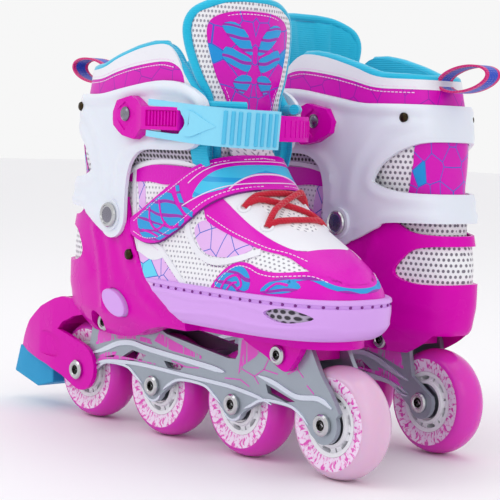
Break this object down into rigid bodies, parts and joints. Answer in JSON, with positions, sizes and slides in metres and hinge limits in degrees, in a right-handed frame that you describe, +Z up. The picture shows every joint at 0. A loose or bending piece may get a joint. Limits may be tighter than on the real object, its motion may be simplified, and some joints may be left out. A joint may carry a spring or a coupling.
{
  "type": "inline skates",
  "caption": "Pair of adjustable children's inline skates: plastic shells with hinged cuffs, buckles, laced fabric uppers, metal frames with wheels in line, and a heel brake on one.",
  "frame": {"origin": "centre of the pair's outline on the ground", "axes": "+Z up, +X the way the right skate points, +Y to the right skate's left, where the left skate stands pointing almost the opposite way"},
  "size_m": [0.35, 0.2002, 0.268],
  "materials": {
    "magenta_shell": "satin",
    "white_cuff": "satin",
    "lilac_shell": "satin",
    "blue_lever": "satin",
    "brake_rubber": "matt",
    "frame_metal": "printed satin",
    "steel": "polished",
    "bearing_steel": "ground",
    "tyre": "cast polyurethane",
    "clear_tyre": "clear cast polyurethane",
    "boot_fabric": "mesh and coated textile",
    "tongue_fabric": "coated textile",
    "strap_fabric": "coated textile",
    "lace_cord": "braided"
  },
  "bodies": {
    "root": {"heel_shell_r": "magenta_shell", "frame_r": "frame_metal", "cuff_rivet_outer_r": "steel", "cuff_rivet_inner_r": "steel", "front_mount_bolt_r": "steel", "rear_mount_bolt_r": "steel", "axle_1_r": "steel", "axle_2_r": "steel", "axle_3_r": "steel", "axle_4_r": "steel", "brake_bracket_r": "magenta_shell", "brake_pad_r": "brake_rubber"},
    "right_cuff": {"cuff_r": "white_cuff", "buckle_base_r": "magenta_shell", "ladder_strap_r": "blue_lever", "liner_r": "boot_fabric", "tongue_r": "tongue_fabric"},
    "right_lever": {"buckle_lever_r": "blue_lever"},
    "right_toe": {"toe_shell_r": "lilac_shell", "upper_r": "boot_fabric", "instep_strap_r": "strap_fabric", "laces_r": "lace_cord"},
    "right_button": {"size_button_r": "lilac_shell"},
    "right_wheel_1": {"wheel_1_r": "tyre", "bearings_1_r": "bearing_steel"},
    "right_wheel_2": {"wheel_2_r": "tyre", "bearings_2_r": "bearing_steel"},
    "right_wheel_3": {"wheel_3_r": "tyre", "bearings_3_r": "bearing_steel"},
    "right_wheel_4": {"wheel_4_r": "clear_tyre", "bearings_4_r": "bearing_steel"},
    "left_skate": {"heel_shell_l": "magenta_shell", "frame_l": "frame_metal", "cuff_rivet_outer_l": "steel", "cuff_rivet_inner_l": "steel", "front_mount_bolt_l": "steel", "rear_mount_bolt_l": "steel", "axle_1_l": "steel", "axle_2_l": "steel", "axle_3_l": "steel", "axle_4_l": "steel"},
    "left_cuff": {"cuff_l": "white_cuff", "buckle_base_l": "magenta_shell", "ladder_strap_l": "blue_lever", "liner_l": "boot_fabric", "tongue_l": "tongue_fabric"},
    "left_lever": {"buckle_lever_l": "blue_lever"},
    "left_toe": {"toe_shell_l": "lilac_shell", "upper_l": "boot_fabric", "instep_strap_l": "strap_fabric", "laces_l": "lace_cord"},
    "left_button": {"size_button_l": "lilac_shell"},
    "left_wheel_1": {"wheel_1_l": "tyre", "bearings_1_l": "bearing_steel"},
    "left_wheel_2": {"wheel_2_l": "tyre", "bearings_2_l": "bearing_steel"},
    "left_wheel_3": {"wheel_3_l": "tyre", "bearings_3_l": "bearing_steel"},
    "left_wheel_4": {"wheel_4_l": "clear_tyre", "bearings_4_l": "bearing_steel"}
  },
  "joints": [
    {"name": "right_cuff_flex", "type": "hinge", "parent": "root", "child": "right_cuff", "pos_m": [-0.029, -0.05384, 0.137], "axis": [0, 1, 0], "range_deg": [-3, 8]},
    {"name": "right_lever_open", "type": "hinge", "parent": "right_cuff", "child": "right_lever", "pos_m": [0.019, -0.09754, 0.197], "axis": [-0.0699, 0, -0.9976], "range_deg": [0, 100]},
    {"name": "right_toe_size", "type": "slide", "parent": "root", "child": "right_toe", "axis": [1, 0, 0], "range_m": [0, 0.02]},
    {"name": "right_size_button_press", "type": "slide", "parent": "root", "child": "right_button", "axis": [0, 1, 0], "range_m": [0, 0.003], "stiffness_N_per_m": 1500},
    {"name": "right_wheel_1_spin", "type": "hinge", "parent": "root", "child": "right_wheel_1", "pos_m": [-0.085, -0.05384, 0.032], "axis": [0, 1, 0], "continuous": true},
    {"name": "right_wheel_2_spin", "type": "hinge", "parent": "root", "child": "right_wheel_2", "pos_m": [-0.009, -0.05384, 0.032], "axis": [0, 1, 0], "continuous": true},
    {"name": "right_wheel_3_spin", "type": "hinge", "parent": "root", "child": "right_wheel_3", "pos_m": [0.067, -0.05384, 0.032], "axis": [0, 1, 0], "continuous": true},
    {"name": "right_wheel_4_spin", "type": "hinge", "parent": "root", "child": "right_wheel_4", "pos_m": [0.143, -0.05384, 0.032], "axis": [0, 1, 0], "continuous": true},
    {"name": "left_skate_lift", "type": "slide", "parent": "root", "child": "left_skate", "axis": [0, 0, 1], "range_m": [0, 0.3]},
    {"name": "left_cuff_flex", "type": "hinge", "parent": "left_skate", "child": "left_cuff", "pos_m": [0.06295, 0.05333, 0.137], "axis": [-0.0401, -0.9992, 0], "range_deg": [-3, 8]},
    {"name": "left_lever_open", "type": "hinge", "parent": "left_cuff", "child": "left_lever", "pos_m": [0.01324, 0.01159, 0.197], "axis": [-0.0699, 0.0028, 0.9976], "range_deg": [0, 35]},
    {"name": "left_toe_size", "type": "slide", "parent": "left_skate", "child": "left_toe", "axis": [-0.9992, 0.0401, 0], "range_m": [0, 0.02]},
    {"name": "left_size_button_press", "type": "slide", "parent": "left_skate", "child": "left_button", "axis": [0.0401, 0.9992, 0], "range_m": [0, 0.003], "stiffness_N_per_m": 1500},
    {"name": "left_wheel_1_spin", "type": "hinge", "parent": "left_skate", "child": "left_wheel_1", "pos_m": [0.11891, 0.05108, 0.032], "axis": [-0.0401, -0.9992, 0], "continuous": true},
    {"name": "left_wheel_2_spin", "type": "hinge", "parent": "left_skate", "child": "left_wheel_2", "pos_m": [0.04297, 0.05413, 0.032], "axis": [-0.0401, -0.9992, 0], "continuous": true},
    {"name": "left_wheel_3_spin", "type": "hinge", "parent": "left_skate", "child": "left_wheel_3", "pos_m": [-0.03297, 0.05718, 0.032], "axis": [-0.0401, -0.9992, 0], "continuous": true},
    {"name": "left_wheel_4_spin", "type": "hinge", "parent": "left_skate", "child": "left_wheel_4", "pos_m": [-0.10891, 0.06023, 0.032], "axis": [-0.0401, -0.9992, 0], "continuous": true}
  ]
}
